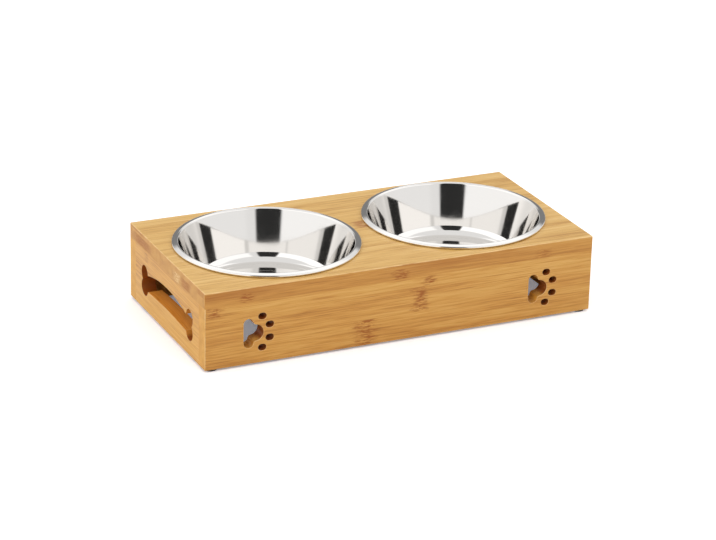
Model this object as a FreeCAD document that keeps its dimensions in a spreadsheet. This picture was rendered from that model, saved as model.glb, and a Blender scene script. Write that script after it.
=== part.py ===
"""Double pet bowl stand: an open-bottomed bamboo box that carries two steel bowls.

Frame: the origin lies on the floor below the middle of the stand, +X runs along the
length to the right, the front faces -Y and +Z points up. All sizes are millimetres
and degrees.
"""
import FreeCAD, Part

import math
import os
import re

import Sketcher
from FreeCAD import Placement, Rotation, Vector

# Driving dimensions: alias, value and what it measures.
DIMENSIONS = (
    ("rim_diameter", 180.0, "outside diameter of a bowl's rolled rim"),
    ("rim_spacing", 17.0, "gap between the two rims"),
    ("end_margin", 11.5, "from a rim to the end of the stand"),
    ("rim_over_panel", 7.5, "how far a rim reaches over the front or back panel"),
    ("top_thickness", 15.0, "thickness of the top board"),
    ("panel_thickness", 15.0, "thickness of the four upright panels"),
    ("panel_height", 61.0, "height of the four upright panels"),
    ("edge_round", 1.0, "rounding of the outer edges"),
    ("cutout_round", 0.5, "rounding of the edges of cut-outs"),
    ("rim_overlap", 5.2, "width of a rim on the board around its hole"),
    ("rim_height", 3.4, "height of the rolled rim"),
    ("rim_bend", 2.0, "bend from the bowl's wall into its rim"),
    ("rim_slope", 12.9, "fall of a rim's top towards its outer edge, in degrees"),
    ("rim_return", 1.3, "straight end of the rolled rim below"),
    ("rim_seat_gap", 0.2, "gap between a rim and the board it rests on"),
    ("bowl_clearance", 1.0, "gap around a bowl's wall in its hole"),
    ("bowl_depth", 46.0, "from the board's top face to a bowl's floor"),
    ("bowl_sheet", 0.8, "thickness of the bowls' sheet steel"),
    ("bowl_taper", 16.5, "lean of a bowl's wall, in degrees"),
    ("bowl_floor_round", 12.0, "round between a bowl's floor and wall"),
    ("base_ring_diameter", 87.0, "diameter of the step around a bowl's raised centre"),
    ("base_ring_step", 1.2, "height of that step"),
    ("base_ring_round", 3.0, "round of that step"),
    ("foot_diameter", 12.0, "diameter of a rubber foot"),
    ("foot_height", 2.0, "height of a rubber foot"),
    ("foot_round", 0.5, "rounding of a foot's lower edge"),
    ("foot_end_inset", 8.5, "from the end of the stand to a foot's centre"),
    ("paw_end_inset", 53.0, "from the end of the stand to the middle of a paw"),
    ("paw_heel_back", 9.85, "from a paw's middle back to its heel lobes"),
    ("paw_heel_spread", 9.5, "from a paw's centre line to a heel lobe"),
    ("paw_heel_radius", 4.95, "radius of a heel lobe"),
    ("paw_palm_back", 3.1, "from a paw's middle back to the palm's centre"),
    ("paw_palm_radius", 8.0, "radius of the palm"),
    ("paw_neck_round", 3.0, "hollow between the palm and a heel lobe"),
    ("toe_length", 8.2, "length of an oval toe hole, along the paw"),
    ("toe_width", 6.4, "width of a toe hole"),
    ("toe_inner_reach", 11.1, "from a paw's middle forward to the inner toes"),
    ("toe_inner_spread", 6.5, "from a paw's centre line to an inner toe"),
    ("toe_outer_reach", 3.7, "from a paw's middle forward to the outer toes"),
    ("toe_outer_spread", 15.5, "from a paw's centre line to an outer toe"),
    ("bone_end_margin", 15.5, "from a bone-shaped grip hole to the end of its panel"),
    ("bone_lobe_radius", 8.7, "radius of a grip hole's lobes"),
    ("bone_lobe_spread", 6.8, "from a grip hole's centre line to a lobe's centre"),
    ("bone_upper_rise", 14.3, "from the centre line up to the arched upper edge"),
    ("bone_upper_radius", 190.0, "radius of the arched upper edge"),
    ("bone_lower_drop", 7.3, "from the centre line down to the lower edge"),
    ("bone_lower_radius", 700.0, "radius of the slightly arched lower edge"),
    ("dowel_diameter", 6.0, "diameter of a wooden dowel"),
    ("dowel_length", 20.0, "length of a wooden dowel"),
    ("dowel_chamfer", 0.6, "chamfer of a dowel's ends"),
    ("dowel_fit", 0.1, "extra diameter of a dowel's hole, for glue"),
    ("dowel_end_gap", 0.5, "extra depth of a dowel's hole"),
    ("corner_dowel_inset", 16.0, "from a panel's lower or upper edge to a corner dowel"),
    ("long_dowel_end_inset", 25.0, "from the end of the stand to its outer top dowels"),
    ("long_dowel_half_span", 60.0, "from the middle to the inner top dowels"),
    ("end_dowel_half_span", 45.0, "from the middle to an end panel's top dowels"),
)
NAMES = {name for name, value, note in DIMENSIONS}

# Sizes that follow from the driving dimensions.
STAND_LENGTH = "(2 * rim_diameter + rim_spacing + 2 * end_margin)"
STAND_DEPTH = "(rim_diameter + 2 * (panel_thickness - rim_over_panel))"
END_PANEL_LENGTH = f"({STAND_DEPTH} - 2 * panel_thickness)"
BOWL_OFFSET = "((rim_diameter + rim_spacing) / 2)"
HOLE_DIAMETER = "(rim_diameter - 2 * rim_overlap)"
TOP_UNDERSIDE = "(foot_height + panel_height)"
TOP_FACE = f"({TOP_UNDERSIDE} + top_thickness)"
DOWEL_HOLE = "(dowel_diameter + dowel_fit)"
DOWEL_HOLE_DEPTH = "(dowel_length / 2 + dowel_end_gap)"
LONG_DOWEL_ACROSS = (
    f"-({STAND_LENGTH} / 2 - long_dowel_end_inset)",
    "-long_dowel_half_span",
    "long_dowel_half_span",
    f"({STAND_LENGTH} / 2 - long_dowel_end_inset)",
)
END_DOWEL_ACROSS = ("-end_dowel_half_span", "end_dowel_half_span")
CORNER_DOWEL_UP = ("corner_dowel_inset", "(panel_height - corner_dowel_inset)")
END_PANEL_MIDDLE = f"({STAND_LENGTH} / 2 - panel_thickness / 2)"
LONG_PANEL_MIDDLE = f"({STAND_DEPTH} / 2 - panel_thickness / 2)"

UP = Vector(0, 0, 1)
HALF_TURN = Rotation(UP, 180)

document = FreeCAD.newDocument("double_bowl_stand")
sheet = document.addObject("Spreadsheet::Sheet", "dims")
for row, (alias, value, note) in enumerate(DIMENSIONS, start=1):
    sheet.set(f"A{row}", note)
    sheet.set(f"B{row}", str(value))
    sheet.setAlias(f"B{row}", alias)
document.recompute()


def bound(text):
    """Return an expression in which each dimension's name points at its cell."""
    return re.sub(r"[a-z_]+", lambda word: f"dims.{word[0]}" if word[0] in NAMES else word[0], text)


def size(text):
    """Return the present value of an expression over the dimensions."""
    return float(sheet.evalExpression(bound(text)))


def crossing(centre_a, radius_a, centre_b, radius_b, side):
    """Return where two circles cross, left (1) or right (-1) of the way from a to b."""
    way = centre_b - centre_a
    along = (way.Length**2 + radius_a**2 - radius_b**2) / (2 * way.Length)
    away = math.sqrt(radius_a**2 - along**2)
    ahead = Vector(way).normalize()
    return centre_a + ahead * along + Vector(-ahead.y, ahead.x, 0) * (side * away)


def arc_between(centre, radius, start, end):
    """Return the counter-clockwise arc about a centre from one point to another."""
    first = math.atan2(start.y - centre.y, start.x - centre.x)
    last = math.atan2(end.y - centre.y, end.x - centre.x)
    if last <= first:
        last += 2 * math.pi
    return Part.ArcOfCircle(Part.Circle(centre, UP, radius), first, last)


class Outline:
    """A sketch whose points and sizes follow the dimensions."""

    def __init__(self, sketch):
        self.sketch = sketch

    def add(self, geometry):
        """Add a curve and return its number."""
        return self.sketch.addGeometry(geometry)

    def tie(self, kind, *numbers):
        """Add a constraint without a value."""
        self.sketch.addConstraint(Sketcher.Constraint(kind, *numbers))

    def drive(self, kind, *numbers, by):
        """Add a constraint whose value is an expression."""
        value = math.radians(size(by)) if kind == "Angle" else size(by)
        index = self.sketch.addConstraint(Sketcher.Constraint(kind, *numbers, value))
        self.sketch.setExpression(f"Constraints[{index}]", bound(by))

    def hold(self, curve, point, across=None, up=None):
        """Hold a curve's point at expressions; "0" keeps it on an axis."""
        for kind, axis, text in (("DistanceX", -2, across), ("DistanceY", -1, up)):
            if text == "0":
                self.tie("PointOnObject", curve, point, axis)
            elif text is not None:
                self.drive(kind, -1, 1, curve, point, by=text)

    def circle(self, across, up, diameter):
        """Add a circle at a place."""
        centre = Vector(size(across), size(up), 0)
        curve = self.add(Part.Circle(centre, UP, size(diameter) / 2))
        self.hold(curve, 3, across, up)
        self.drive("Diameter", curve, by=diameter)

    def oval(self, across, up, length, width):
        """Add an oval about a place: two half rounds joined by straight sides."""
        centre = Vector(size(across), size(up), 0)
        radius = size(width) / 2
        reach = Vector((size(length) - size(width)) / 2, 0, 0)
        side = Vector(0, radius, 0)
        quarter = math.pi / 2
        right = self.add(Part.ArcOfCircle(Part.Circle(centre + reach, UP, radius), -quarter, quarter))
        upper = self.add(Part.LineSegment(centre + reach + side, centre - reach + side))
        left = self.add(Part.ArcOfCircle(Part.Circle(centre - reach, UP, radius), quarter, 3 * quarter))
        lower = self.add(Part.LineSegment(centre - reach - side, centre + reach - side))
        self.tie("Tangent", right, 2, upper, 1)
        self.tie("Tangent", upper, 2, left, 1)
        self.tie("Tangent", left, 2, lower, 1)
        self.tie("Tangent", lower, 2, right, 1)
        self.tie("Horizontal", upper)
        self.tie("Horizontal", lower)
        self.hold(right, 3, f"{across} + ({length} - {width}) / 2", up)
        self.hold(left, 3, f"{across} - ({length} - {width}) / 2")
        self.drive("Radius", right, by=f"{width} / 2")

    def rectangle(self, half_width, bottom, top):
        """Add a rectangle about the vertical axis."""
        across = size(half_width)
        low = size(bottom)
        high = size(top)
        corners = [
            Vector(-across, low, 0),
            Vector(across, low, 0),
            Vector(across, high, 0),
            Vector(-across, high, 0),
        ]
        sides = [self.add(Part.LineSegment(corners[k], corners[(k + 1) % 4])) for k in range(4)]
        for k in range(4):
            self.tie("Coincident", sides[k], 2, sides[(k + 1) % 4], 1)
            self.tie("Horizontal" if k % 2 == 0 else "Vertical", sides[k])
        self.hold(sides[0], 1, f"-{half_width}", bottom)
        self.hold(sides[2], 1, half_width, top)


def outline_on(body, name, plane, out="0"):
    """Return a new outline on one of a body's origin planes, moved out along its normal."""
    sketch = body.newObject("Sketcher::SketchObject", f"{body.Name}_{name}")
    origin_plane = next(item for item in body.Origin.OriginFeatures if item.Role == plane)
    sketch.AttachmentSupport = (origin_plane, [""])
    sketch.MapMode = "FlatFace"
    sketch.setExpression("AttachmentOffset.Base.z", bound(out))
    return Outline(sketch)


def new_body(name):
    """Return an empty body for one piece."""
    body = document.addObject("PartDesign::Body", name)
    body.Label = name
    return body


def pad(body, outline, length, backwards=False):
    """Raise a body from an outline."""
    feature = body.newObject("PartDesign::Pad", f"{outline.sketch.Name}_pad")
    feature.Profile = outline.sketch
    feature.setExpression("Length", bound(length))
    feature.Reversed = backwards
    document.recompute()


def pocket(body, outline, depth, backwards=False):
    """Cut an outline into a body and make sure that the cut took material away."""
    before = body.Shape.Volume
    feature = body.newObject("PartDesign::Pocket", f"{outline.sketch.Name}_cut")
    feature.Profile = outline.sketch
    feature.setExpression("Length", bound(depth))
    feature.Reversed = backwards
    document.recompute()
    if body.Shape.Volume >= before:
        raise RuntimeError(f"{feature.Name} cuts nothing")
    return feature


def repeat(body, feature, axis, distance):
    """Repeat a cut once more at a distance along one of the body's axes."""
    before = body.Shape.Volume
    pattern = body.newObject("PartDesign::LinearPattern", f"{feature.Name}_pair")
    pattern.Originals = [feature]
    line = next(item for item in body.Origin.OriginFeatures if item.Role == axis)
    pattern.Direction = (line, [""])
    pattern.setExpression("Length", bound(distance))
    pattern.Occurrences = 2
    body.Tip = pattern
    document.recompute()
    if body.Shape.Volume >= before:
        raise RuntimeError(f"{pattern.Name} cuts nothing")


def round_edges(body, name, radius, chosen):
    """Round those edges of a body that a test on an edge's box chooses."""
    base = body.Tip
    edges = [
        f"Edge{number}"
        for number, edge in enumerate(base.Shape.Edges, start=1)
        if chosen(edge.BoundBox)
    ]
    feature = body.newObject("PartDesign::Fillet", f"{body.Name}_{name}")
    feature.Base = (base, edges)
    feature.setExpression("Radius", bound(radius))
    document.recompute()


def near(value, goal):
    """Tell whether two lengths agree."""
    return abs(value - goal) < 1e-4


def flat_at(low, high, goal):
    """Tell whether an edge's range in one direction is a single given value."""
    return near(low, goal) and near(high, goal)


def stand_at(item, across="0", along="0", up="0", rotation=None):
    """Place a piece, with its position bound to the dimensions."""
    item.Placement = Placement(Vector(), rotation or Rotation())
    for axis, text in zip("xyz", (across, along, up)):
        item.setExpression(f"Placement.Base.{axis}", bound(text))


def make_top_board():
    """Make the top board: two round holes and blind dowel holes in its underside."""
    body = new_body("top_board")
    outer = outline_on(body, "outline", "XY_Plane")
    outer.rectangle(f"{STAND_LENGTH} / 2", f"-{STAND_DEPTH} / 2", f"{STAND_DEPTH} / 2")
    pad(body, outer, "top_thickness")

    holes = outline_on(body, "bowl_holes", "XY_Plane")
    holes.circle(f"-{BOWL_OFFSET}", "0", HOLE_DIAMETER)
    holes.circle(BOWL_OFFSET, "0", HOLE_DIAMETER)
    pocket(body, holes, "top_thickness", backwards=True)

    dowels = outline_on(body, "dowel_holes", "XY_Plane")
    for across in LONG_DOWEL_ACROSS:
        dowels.circle(across, f"-{LONG_PANEL_MIDDLE}", DOWEL_HOLE)
        dowels.circle(across, LONG_PANEL_MIDDLE, DOWEL_HOLE)
    for along in END_DOWEL_ACROSS:
        dowels.circle(f"-{END_PANEL_MIDDLE}", along, DOWEL_HOLE)
        dowels.circle(END_PANEL_MIDDLE, along, DOWEL_HOLE)
    pocket(body, dowels, DOWEL_HOLE_DEPTH, backwards=True)

    half_length = size(f"{STAND_LENGTH} / 2")
    half_depth = size(f"{STAND_DEPTH} / 2")
    top = size("top_thickness")
    hole = size(HOLE_DIAMETER)

    def outer_edge(box):
        """Choose the upper outline and the four upright corners."""
        at_end = flat_at(abs(box.XMin), abs(box.XMax), half_length) and near(box.XMin, box.XMax)
        at_side = flat_at(abs(box.YMin), abs(box.YMax), half_depth) and near(box.YMin, box.YMax)
        at_top = flat_at(box.ZMin, box.ZMax, top)
        return (at_top and (at_end or at_side)) or (at_end and at_side)

    def hole_edge(box):
        """Choose the upper edges of the bowl holes."""
        return flat_at(box.ZMin, box.ZMax, top) and near(box.XLength, hole)

    round_edges(body, "outer_round", "edge_round", outer_edge)
    round_edges(body, "hole_round", "cutout_round", hole_edge)
    stand_at(body, up=TOP_UNDERSIDE)
    return body


def draw_paw(pad_outline, toe_outline):
    """Draw a paw about its middle: the toes point to +X, the heel lobes to -X."""
    palm = Vector(-size("paw_palm_back"), 0, 0)
    palm_radius = size("paw_palm_radius")
    neck_radius = size("paw_neck_round")
    heel_radius = size("paw_heel_radius")
    heels = [Vector(-size("paw_heel_back"), way * size("paw_heel_spread"), 0) for way in (-1, 1)]
    necks = [
        crossing(palm, palm_radius + neck_radius, heel, heel_radius + neck_radius, -way)
        for way, heel in zip((-1, 1), heels)
    ]
    palm_ends = [palm + (neck - palm).normalize() * palm_radius for neck in necks]
    heel_ends = [heel + (neck - heel).normalize() * heel_radius for neck, heel in zip(necks, heels)]
    backs = [heel - Vector(heel_radius, 0, 0) for heel in heels]

    shift = f"-({STAND_LENGTH} / 2 - paw_end_inset)"
    middle = "panel_height / 2"
    offset = Vector(size(shift), size(middle), 0)

    def arc(centre, radius, start, end):
        """Add an arc given about the paw's middle."""
        return pad_outline.add(arc_between(centre + offset, radius, start + offset, end + offset))

    palm_arc = arc(palm, palm_radius, palm_ends[0], palm_ends[1])
    neck_high = arc(necks[1], neck_radius, heel_ends[1], palm_ends[1])
    heel_high = arc(heels[1], heel_radius, heel_ends[1], backs[1])
    back_line = pad_outline.add(Part.LineSegment(backs[1] + offset, backs[0] + offset))
    heel_low = arc(heels[0], heel_radius, backs[0], heel_ends[0])
    neck_low = arc(necks[0], neck_radius, palm_ends[0], heel_ends[0])

    pad_outline.tie("Tangent", palm_arc, 2, neck_high, 2)
    pad_outline.tie("Tangent", neck_high, 1, heel_high, 1)
    pad_outline.tie("Tangent", heel_high, 2, back_line, 1)
    pad_outline.tie("Tangent", back_line, 2, heel_low, 1)
    pad_outline.tie("Tangent", heel_low, 2, neck_low, 2)
    pad_outline.tie("Tangent", neck_low, 1, palm_arc, 1)
    pad_outline.hold(palm_arc, 3, f"{shift} - paw_palm_back", middle)
    pad_outline.hold(heel_high, 3, f"{shift} - paw_heel_back", f"{middle} + paw_heel_spread")
    pad_outline.hold(heel_low, 3, up=f"{middle} - paw_heel_spread")
    pad_outline.drive("Radius", palm_arc, by="paw_palm_radius")
    pad_outline.drive("Radius", heel_high, by="paw_heel_radius")
    pad_outline.drive("Radius", heel_low, by="paw_heel_radius")
    pad_outline.drive("Radius", neck_high, by="paw_neck_round")
    pad_outline.drive("Radius", neck_low, by="paw_neck_round")

    for way in "+-":
        inner = f"{middle} {way} toe_inner_spread"
        outer = f"{middle} {way} toe_outer_spread"
        toe_outline.oval(f"{shift} + toe_inner_reach", inner, "toe_length", "toe_width")
        toe_outline.oval(f"{shift} + toe_outer_reach", outer, "toe_length", "toe_width")


def make_long_panel(name):
    """Make a front or back panel, with its outer face on the XZ plane and +Y inward."""
    body = new_body(name)
    outer = outline_on(body, "outline", "XZ_Plane")
    outer.rectangle(f"{STAND_LENGTH} / 2", "0", "panel_height")
    pad(body, outer, "panel_thickness", backwards=True)

    half_length = size(f"{STAND_LENGTH} / 2")

    def outer_edge(box):
        """Choose the lower edge and the upright edges of the outer face, and the lower ends."""
        outside = flat_at(box.YMin, box.YMax, 0)
        at_end = near(box.XMin, box.XMax) and near(abs(box.XMin), half_length)
        at_bottom = flat_at(box.ZMin, box.ZMax, 0)
        return (outside and (at_end or at_bottom)) or (at_end and at_bottom)

    round_edges(body, "outer_round", "edge_round", outer_edge)

    paw_pad = outline_on(body, "paw_pad", "XZ_Plane")
    paw_toes = outline_on(body, "paw_toes", "XZ_Plane")
    draw_paw(paw_pad, paw_toes)
    paw_step = f"({STAND_LENGTH} - 2 * paw_end_inset)"
    for outline in (paw_pad, paw_toes):
        cut = pocket(body, outline, "panel_thickness")
        repeat(body, cut, "X_Axis", paw_step)

    top_dowels = outline_on(body, "top_dowels", "XY_Plane", out="panel_height")
    for across in LONG_DOWEL_ACROSS:
        top_dowels.circle(across, "panel_thickness / 2", DOWEL_HOLE)
    pocket(body, top_dowels, DOWEL_HOLE_DEPTH)

    corner_dowels = outline_on(body, "corner_dowels", "XZ_Plane", out="-panel_thickness")
    for up in CORNER_DOWEL_UP:
        corner_dowels.circle(f"-{END_PANEL_MIDDLE}", up, DOWEL_HOLE)
        corner_dowels.circle(END_PANEL_MIDDLE, up, DOWEL_HOLE)
    pocket(body, corner_dowels, DOWEL_HOLE_DEPTH, backwards=True)

    low = size("panel_height / 2 - toe_outer_spread - toe_width")
    high = size("panel_height / 2 + toe_outer_spread + toe_width")

    def cutout_edge(box):
        """Choose the paws' edges on the outer face."""
        return flat_at(box.YMin, box.YMax, 0) and box.ZMin > low and box.ZMax < high

    round_edges(body, "cutout_round", "cutout_round", cutout_edge)
    return body


def draw_bone(outline):
    """Draw the bone-shaped grip hole: four round lobes joined by two arched edges."""
    lobe_radius = size("bone_lobe_radius")
    spread = size("bone_lobe_spread")
    reach_text = f"({END_PANEL_LENGTH} / 2 - bone_end_margin - bone_lobe_radius)"
    reach = size(reach_text)
    upper_text = "(bone_upper_rise - bone_upper_radius)"
    lower_text = "(-bone_lower_drop - bone_lower_radius)"
    upper = Vector(0, size(upper_text), 0)
    lower = Vector(0, size(lower_text), 0)
    upper_radius = size("bone_upper_radius")
    lower_radius = size("bone_lower_radius")
    right_high = Vector(reach, spread, 0)
    right_low = Vector(reach, -spread, 0)
    high_neck = crossing(right_high, lobe_radius, upper, upper_radius, -1)
    low_neck = crossing(right_low, lobe_radius, lower, lower_radius, -1)
    notch = crossing(right_high, lobe_radius, right_low, lobe_radius, 1)

    def mirror(point):
        """Return a point's image across the panel's middle."""
        return Vector(-point.x, point.y, 0)

    middle = "panel_height / 2"
    offset = Vector(0, size(middle), 0)

    def arc(centre, radius, start, end):
        """Add an arc given about the hole's middle."""
        return outline.add(arc_between(centre + offset, radius, start + offset, end + offset))

    lobe_a = arc(right_high, lobe_radius, notch, high_neck)
    upper_arc = arc(upper, upper_radius, high_neck, mirror(high_neck))
    lobe_b = arc(mirror(right_high), lobe_radius, mirror(high_neck), mirror(notch))
    lobe_c = arc(mirror(right_low), lobe_radius, mirror(notch), mirror(low_neck))
    lower_arc = arc(lower, lower_radius, low_neck, mirror(low_neck))
    lobe_d = arc(right_low, lobe_radius, low_neck, notch)

    outline.tie("Coincident", lobe_a, 2, upper_arc, 1)
    outline.tie("Coincident", upper_arc, 2, lobe_b, 1)
    outline.tie("Coincident", lobe_b, 2, lobe_c, 1)
    outline.tie("Coincident", lobe_c, 2, lower_arc, 2)
    outline.tie("Coincident", lower_arc, 1, lobe_d, 1)
    outline.tie("Coincident", lobe_d, 2, lobe_a, 1)
    outline.hold(lobe_a, 3, reach_text, f"{middle} + bone_lobe_spread")
    outline.hold(lobe_b, 3, f"-{reach_text}", f"{middle} + bone_lobe_spread")
    outline.hold(lobe_c, 3, f"-{reach_text}", f"{middle} - bone_lobe_spread")
    outline.hold(lobe_d, 3, reach_text, f"{middle} - bone_lobe_spread")
    outline.hold(upper_arc, 3, "0", f"{middle} + {upper_text}")
    outline.hold(lower_arc, 3, "0", f"{middle} + {lower_text}")
    for lobe in (lobe_a, lobe_b, lobe_c, lobe_d):
        outline.drive("Radius", lobe, by="bone_lobe_radius")
    outline.drive("Radius", upper_arc, by="bone_upper_radius")
    outline.drive("Radius", lower_arc, by="bone_lower_radius")


def make_end_panel(name):
    """Make an end panel, with its outer face on the YZ plane and +X inward."""
    body = new_body(name)
    outer = outline_on(body, "outline", "YZ_Plane")
    outer.rectangle(f"{END_PANEL_LENGTH} / 2", "0", "panel_height")
    pad(body, outer, "panel_thickness")

    def lower_edge(box):
        """Choose the lower edge of the outer face."""
        return flat_at(box.XMin, box.XMax, 0) and flat_at(box.ZMin, box.ZMax, 0)

    round_edges(body, "outer_round", "edge_round", lower_edge)

    bone = outline_on(body, "bone", "YZ_Plane")
    draw_bone(bone)
    pocket(body, bone, "panel_thickness", backwards=True)

    top_dowels = outline_on(body, "top_dowels", "XY_Plane", out="panel_height")
    for along in END_DOWEL_ACROSS:
        top_dowels.circle("panel_thickness / 2", along, DOWEL_HOLE)
    pocket(body, top_dowels, DOWEL_HOLE_DEPTH)

    half_length = f"{END_PANEL_LENGTH} / 2"
    for side, out, backwards in (("front", half_length, False), ("back", f"-{half_length}", True)):
        corner_dowels = outline_on(body, f"{side}_dowels", "XZ_Plane", out=out)
        for up in CORNER_DOWEL_UP:
            corner_dowels.circle("panel_thickness / 2", up, DOWEL_HOLE)
        pocket(body, corner_dowels, DOWEL_HOLE_DEPTH, backwards)

    thickness = size("panel_thickness")
    low = size("panel_height / 2 - bone_lobe_spread - 1.5 * bone_lobe_radius")
    high = size("panel_height / 2 + bone_lobe_spread + 1.5 * bone_lobe_radius")

    def cutout_edge(box):
        """Choose the grip hole's edges on both faces."""
        on_face = flat_at(box.XMin, box.XMax, 0) or flat_at(box.XMin, box.XMax, thickness)
        return on_face and box.ZMin > low and box.ZMax < high

    round_edges(body, "cutout_round", "cutout_round", cutout_edge)
    return body


def draw_bowl_section():
    """Draw the inside of a bowl from the middle of its floor to the end of its rolled rim.

    The section lies in the XZ plane, with its zero height on the board's top face.
    """
    sketch = document.addObject("Sketcher::SketchObject", "bowl_section")
    sketch.Placement = Placement(Vector(), Rotation(Vector(1, 0, 0), 90))
    outline = Outline(sketch)
    floor = "-bowl_depth"
    raised = "(base_ring_step - bowl_depth)"
    rim_top = "(rim_seat_gap + rim_height)"
    bend_up = f"({rim_top} - rim_bend)"
    inner_bend = "(rim_bend - bowl_sheet)"
    wall_run = f"(({bend_up} + {inner_bend} * sin(bowl_taper)) / cos(bowl_taper))"
    wall_across = f"({HOLE_DIAMETER} / 2 - bowl_clearance)"
    bend_across = f"({wall_across} + {inner_bend} * cos(bowl_taper) + {wall_run} * sin(bowl_taper))"

    room_across = f"(rim_diameter / 2 - {bend_across})"
    room_up = f"({bend_up} - rim_seat_gap)"
    curl_radius = (
        f"((rim_bend + {room_up} * cos(rim_slope) - {room_across} * sin(rim_slope))"
        " / (1 + cos(rim_slope) - sin(rim_slope)))"
    )
    curl_across = f"(rim_diameter / 2 - {curl_radius})"
    curl_up = f"(rim_seat_gap + {curl_radius})"

    taper = math.radians(size("bowl_taper"))
    rise = Vector(math.sin(taper), math.cos(taper), 0)
    outward = Vector(math.cos(taper), -math.sin(taper), 0)
    slope = math.radians(size("rim_slope"))
    rim_normal = Vector(math.sin(slope), math.cos(slope), 0)
    down = Vector(0, -1, 0)
    step_round = size("base_ring_round")
    step_turn = math.acos(1 - size("base_ring_step") / (2 * step_round))
    step_width = step_round * math.sin(step_turn)
    ring = size("base_ring_diameter") / 2
    floor_round = size("bowl_floor_round")
    bend = Vector(size(bend_across), size(bend_up), 0)
    curl = Vector(size(curl_across), size(curl_up), 0)
    wall_top = bend - outward * size("rim_bend")
    round_up = size(floor) + floor_round
    drop = (wall_top.y - (round_up - floor_round * math.sin(taper))) / rise.y
    wall_foot = wall_top - rise * drop
    floor_centre = wall_foot - outward * floor_round
    ring_top = Vector(ring - 2 * step_width, size(raised), 0)
    ring_middle = Vector(ring - step_width, size(raised) - size("base_ring_step") / 2, 0)
    ring_foot = Vector(ring, size(floor), 0)
    end_point = Vector(curl.x - size("rim_return"), size("rim_seat_gap"), 0)

    centre_line = outline.add(Part.LineSegment(Vector(0, size(raised), 0), ring_top))
    crest = outline.add(arc_between(ring_top + down * step_round, step_round, ring_middle, ring_top))
    trough = outline.add(arc_between(ring_foot - down * step_round, step_round, ring_middle, ring_foot))
    floor_foot = floor_centre + down * floor_round
    floor_line = outline.add(Part.LineSegment(ring_foot, floor_foot))
    floor_arc = outline.add(arc_between(floor_centre, floor_round, floor_foot, wall_foot))
    wall_line = outline.add(Part.LineSegment(wall_foot, wall_top))
    bend_top = bend + rim_normal * size("rim_bend")
    bend_arc = outline.add(arc_between(bend, size("rim_bend"), bend_top, wall_top))
    curl_top = curl + rim_normal * size(curl_radius)
    curl_foot = curl + down * size(curl_radius)
    top_line = outline.add(Part.LineSegment(bend_top, curl_top))
    curl_arc = outline.add(arc_between(curl, size(curl_radius), curl_foot, curl_top))
    return_line = outline.add(Part.LineSegment(curl_foot, end_point))

    outline.tie("Tangent", centre_line, 2, crest, 2)
    outline.tie("Tangent", crest, 1, trough, 1)
    outline.tie("Tangent", trough, 2, floor_line, 1)
    outline.tie("Tangent", floor_line, 2, floor_arc, 1)
    outline.tie("Tangent", floor_arc, 2, wall_line, 1)
    outline.tie("Tangent", wall_line, 2, bend_arc, 2)
    outline.tie("Tangent", bend_arc, 1, top_line, 1)
    outline.tie("Tangent", top_line, 2, curl_arc, 2)
    outline.tie("Tangent", curl_arc, 1, return_line, 1)
    for line in (centre_line, floor_line, return_line):
        outline.tie("Horizontal", line)
    outline.hold(centre_line, 1, "0", raised)
    outline.hold(floor_line, 1, "base_ring_diameter / 2", floor)
    outline.hold(bend_arc, 3, bend_across, bend_up)
    outline.hold(curl_arc, 3, curl_across, curl_up)
    outline.hold(return_line, 2, f"{curl_across} - rim_return")
    outline.drive("Angle", wall_line, by="90 - bowl_taper")
    for arc in (crest, trough):
        outline.drive("Radius", arc, by="base_ring_round")
    outline.drive("Radius", floor_arc, by="bowl_floor_round")
    outline.drive("Radius", bend_arc, by="rim_bend")
    outline.drive("Radius", curl_arc, by=curl_radius)
    return sketch


def make_bowl(name, section, across):
    """Make one bowl by turning its sheet's section about the bowl's axis."""
    strip = document.addObject("Part::Offset2D", f"{name}_sheet")
    strip.Source = section
    strip.Mode = "Skin"
    strip.Join = "Arc"
    strip.Fill = True
    strip.setExpression("Value", bound("-bowl_sheet"))
    bowl = document.addObject("Part::Revolution", name)
    bowl.Label = name
    bowl.Source = strip
    bowl.Axis = UP
    bowl.Base = Vector(0, 0, 0)
    bowl.Angle = 360
    bowl.Solid = True
    stand_at(bowl, across, "0", TOP_FACE)
    document.recompute()
    return bowl


def make_foot(name, across, along):
    """Make one stick-on rubber foot below a long panel."""
    body = new_body(name)
    disc = outline_on(body, "outline", "XY_Plane")
    disc.circle("0", "0", "foot_diameter")
    pad(body, disc, "foot_height")
    round_edges(body, "lower_round", "foot_round", lambda box: flat_at(box.ZMin, box.ZMax, 0))
    stand_at(body, across, along)
    return body


def make_dowel_pattern():
    """Make the dowel that all groups repeat, about its own middle and along Z."""
    body = new_body("dowel")
    disc = outline_on(body, "outline", "XY_Plane", out="-dowel_length / 2")
    disc.circle("0", "0", "dowel_diameter")
    pad(body, disc, "dowel_length")
    base = body.Tip
    ends = [f"Edge{k}" for k, edge in enumerate(base.Shape.Edges, start=1) if edge.isClosed()]
    feature = body.newObject("PartDesign::Chamfer", "dowel_ends")
    feature.Base = (base, ends)
    feature.setExpression("Size", bound("dowel_chamfer"))
    document.recompute()
    return body


def make_dowel_group(name, pattern, places, rotation=None):
    """Make one row of equal dowels, at places given as three expressions each."""
    copies = []
    for number, place in enumerate(places, start=1):
        copy = document.addObject("App::Link", f"{name}_{number}")
        copy.LinkedObject = pattern
        stand_at(copy, *place, rotation)
        copies.append(copy)
    group = document.addObject("Part::Compound", name)
    group.Label = name
    group.Links = copies
    document.recompute()
    return group


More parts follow.
